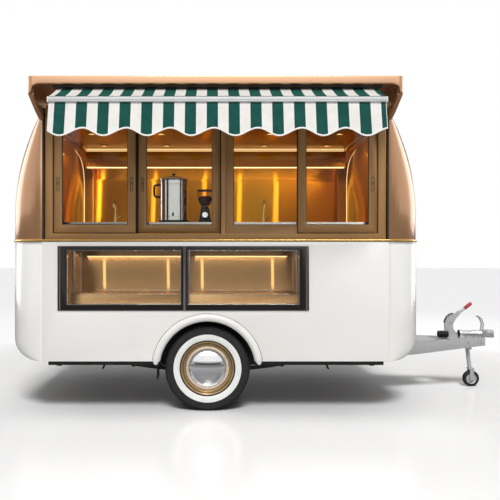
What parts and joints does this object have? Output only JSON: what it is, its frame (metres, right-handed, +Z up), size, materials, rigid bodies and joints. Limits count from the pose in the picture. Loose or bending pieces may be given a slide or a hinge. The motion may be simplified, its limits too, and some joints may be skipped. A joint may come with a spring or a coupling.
{
  "type": "catering trailer",
  "caption": "Single-axle catering trailer with rounded end caps, sliding serving windows, display case, striped awning, rear door and towing drawbar.",
  "frame": {"origin": "centre of the bounding box in plan, on the ground", "axes": "+X forwards along the drawbar, +Y to the trailer's left, -Y the serving side, +Z up"},
  "size_m": [4.03, 2.5884, 2.406],
  "materials": {
    "white_panel": "glossy off-white",
    "bronze_panel": "glossy metallic bronze",
    "bronze_frame": "satin bronze",
    "dark_frame": "anodised, dark grey",
    "brass_trim": "polished",
    "gold_lining": "brushed, gold coloured",
    "steel": "brushed",
    "glass": "clear",
    "light_metal": "satin light grey",
    "awning_cloth": "woven, green with cream stripes",
    "floor_board": "coated board",
    "black_metal": "satin black",
    "black_plastic": "textured black",
    "galvanised": "light grey zinc",
    "red_lens": "clear red lens",
    "tyre": "matt black, white band on the wall",
    "gold_wheel": "gold paint, chrome cap",
    "black_rubber": "matt"
  },
  "bodies": {
    "trailer": {"floor_deck": "floor_board", "front_cap_lower": "white_panel", "front_cap_upper": "bronze_panel", "rear_cap_lower": "white_panel", "rear_cap_upper": "bronze_panel", "serving_side_panel": "white_panel", "far_side_lower": "white_panel", "far_side_upper": "bronze_panel", "roof_panel": "bronze_panel", "interior_lining": "gold_lining", "waist_strip": "brass_trim", "window_frame": "bronze_frame", "fixed_glass": "glass", "visor": "bronze_panel", "awning_frame": "light_metal", "awning_canopy": "awning_cloth", "display_frame": "dark_frame", "display_case": "gold_lining", "serving_counter": "steel", "counter_taps": "brass_trim", "back_counter": "steel", "overhead_locker": "gold_lining", "coffee_urn": "steel", "coffee_grinder": "black_plastic", "chassis": "black_metal", "axle": "black_metal", "wheel_boxes": "black_plastic", "arch_flares": "white_panel", "drawbar": "galvanised", "coupling": "galvanised", "handbrake": "galvanised", "rear_lamps": "red_lens"},
    "window_1": {"window_1_sash": "bronze_frame", "window_1_glass": "glass"},
    "window_2": {"window_2_sash": "bronze_frame", "window_2_glass": "glass"},
    "window_4": {"window_4_sash": "bronze_frame", "window_4_glass": "glass"},
    "rear_door": {"rear_door_lower": "white_panel", "rear_door_upper": "bronze_panel", "rear_door_glass": "glass"},
    "right_road_wheel": {"right_tyre": "tyre", "right_wheel": "gold_wheel"},
    "left_road_wheel": {"left_tyre": "tyre", "left_wheel": "gold_wheel"},
    "rear_right_steady": {"rear_right_steady": "black_metal"},
    "rear_left_steady": {"rear_left_steady": "black_metal"},
    "front_right_steady": {"front_right_steady": "black_metal"},
    "front_left_steady": {"front_left_steady": "black_metal"},
    "jockey_leg": {"jockey_leg": "galvanised"},
    "jockey_wheel": {"jockey_wheel": "black_rubber"}
  },
  "joints": [
    {"name": "right_wheel_spin", "type": "hinge", "parent": "trailer", "child": "right_road_wheel", "pos_m": [-0.499, -0.59829, 0.317], "axis": [0, 1, 0], "continuous": true},
    {"name": "left_wheel_spin", "type": "hinge", "parent": "trailer", "child": "left_road_wheel", "pos_m": [-0.499, 1.13071, 0.317], "axis": [0, 1, 0], "continuous": true},
    {"name": "jockey_leg_fold", "type": "hinge", "parent": "trailer", "child": "jockey_leg", "pos_m": [1.779, 0.26621, 0.352], "axis": [0, 1, 0], "range_deg": [0, 80]},
    {"name": "jockey_wheel_spin", "type": "hinge", "parent": "jockey_leg", "child": "jockey_wheel", "pos_m": [1.813, 0.26621, 0.07], "axis": [0, 1, 0], "continuous": true},
    {"name": "rear_door_swing", "type": "hinge", "parent": "trailer", "child": "rear_door", "pos_m": [-2.003, 0.62821, 1.2], "axis": [0, 0, -1], "range_deg": [0, 110]},
    {"name": "window_1_slide", "type": "slide", "parent": "trailer", "child": "window_1", "axis": [1, 0, 0], "range_m": [0, 0.62]},
    {"name": "window_2_slide", "type": "slide", "parent": "trailer", "child": "window_2", "axis": [-1, 0, 0], "range_m": [0, 0.62]},
    {"name": "window_4_slide", "type": "slide", "parent": "trailer", "child": "window_4", "axis": [-1, 0, 0], "range_m": [0, 0.53]},
    {"name": "front_right_steady_drop", "type": "hinge", "parent": "trailer", "child": "front_right_steady", "pos_m": [0.751, -0.53379, 0.338], "axis": [0, -1, 0], "range_deg": [0, 72]},
    {"name": "front_left_steady_drop", "type": "hinge", "parent": "trailer", "child": "front_left_steady", "pos_m": [0.751, 1.06621, 0.338], "axis": [0, -1, 0], "range_deg": [0, 72]},
    {"name": "rear_right_steady_drop", "type": "hinge", "parent": "trailer", "child": "rear_right_steady", "pos_m": [-1.629, -0.53379, 0.338], "axis": [0, 1, 0], "range_deg": [0, 72]},
    {"name": "rear_left_steady_drop", "type": "hinge", "parent": "trailer", "child": "rear_left_steady", "pos_m": [-1.629, 1.06621, 0.338], "axis": [0, 1, 0], "range_deg": [0, 72]}
  ]
}
